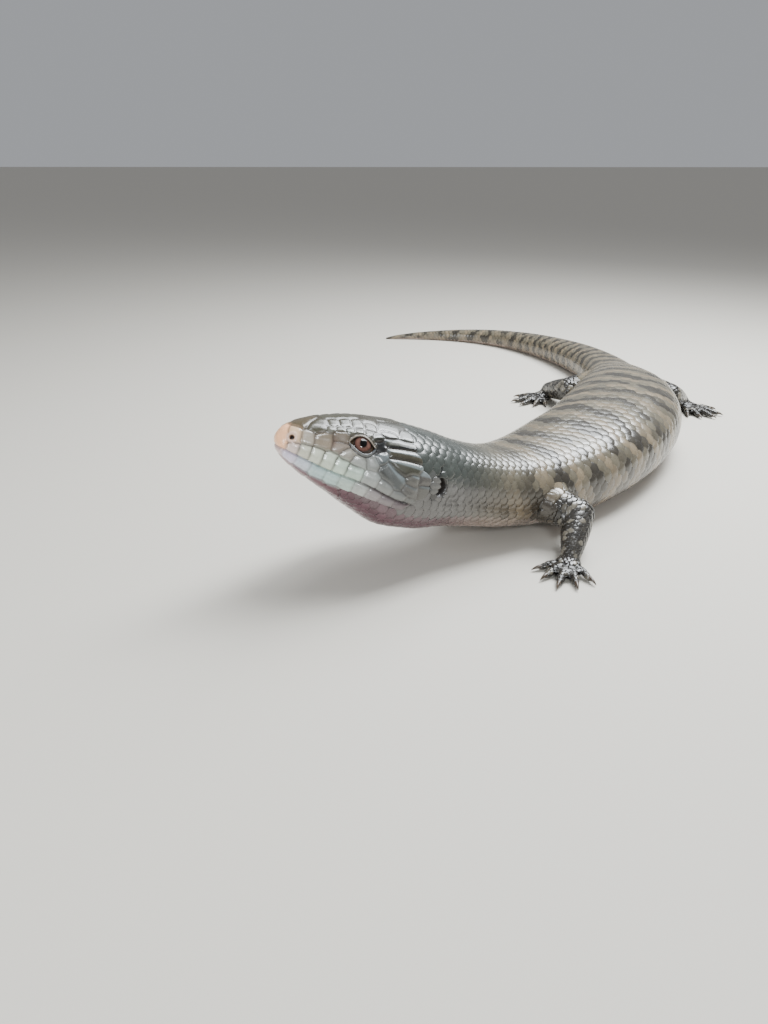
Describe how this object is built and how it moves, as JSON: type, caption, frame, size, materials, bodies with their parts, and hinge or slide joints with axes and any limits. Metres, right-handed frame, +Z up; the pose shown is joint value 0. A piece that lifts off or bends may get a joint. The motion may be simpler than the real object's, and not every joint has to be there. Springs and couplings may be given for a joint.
{
  "type": "blue tongued skink",
  "caption": "Life-size still model of a blue tongued skink lying on its belly, head raised, body and tail in one long bend, short legs out at its sides.",
  "frame": {"origin": "on the floor, under the middle of the whole animal's box", "axes": "+Z up; +X from the head end to the tail end along the longest side; +Y to the side that the snout points to"},
  "size_m": [0.379, 0.228, 0.0607],
  "materials": {
    "head_skin": "smooth grey-brown head shields with a soft gloss",
    "body_skin": "glossy silver grey-brown scales with thin dark crossbars, pinkish below",
    "leg_skin": "dark scales with pale flecks",
    "eye": "wet, red-brown iris with a round black pupil",
    "eardrum": "thin dark membrane"
  },
  "bodies": {
    "root": {"head": "head_skin", "neck": "body_skin", "chest": "body_skin", "abdomen": "body_skin", "hips": "body_skin", "tail_base": "body_skin", "tail_middle": "body_skin", "tail_rear": "body_skin", "tail_tip": "body_skin", "foreleg_left": "leg_skin", "foreleg_right": "leg_skin", "forefoot_left": "leg_skin", "forefoot_right": "leg_skin", "hindleg_left": "leg_skin", "hindleg_right": "leg_skin", "hindfoot_left": "leg_skin", "hindfoot_right": "leg_skin", "eye_left": "eye", "ear_left": "eardrum", "eye_right": "eye", "ear_right": "eardrum"}
  },
  "joints": []
}
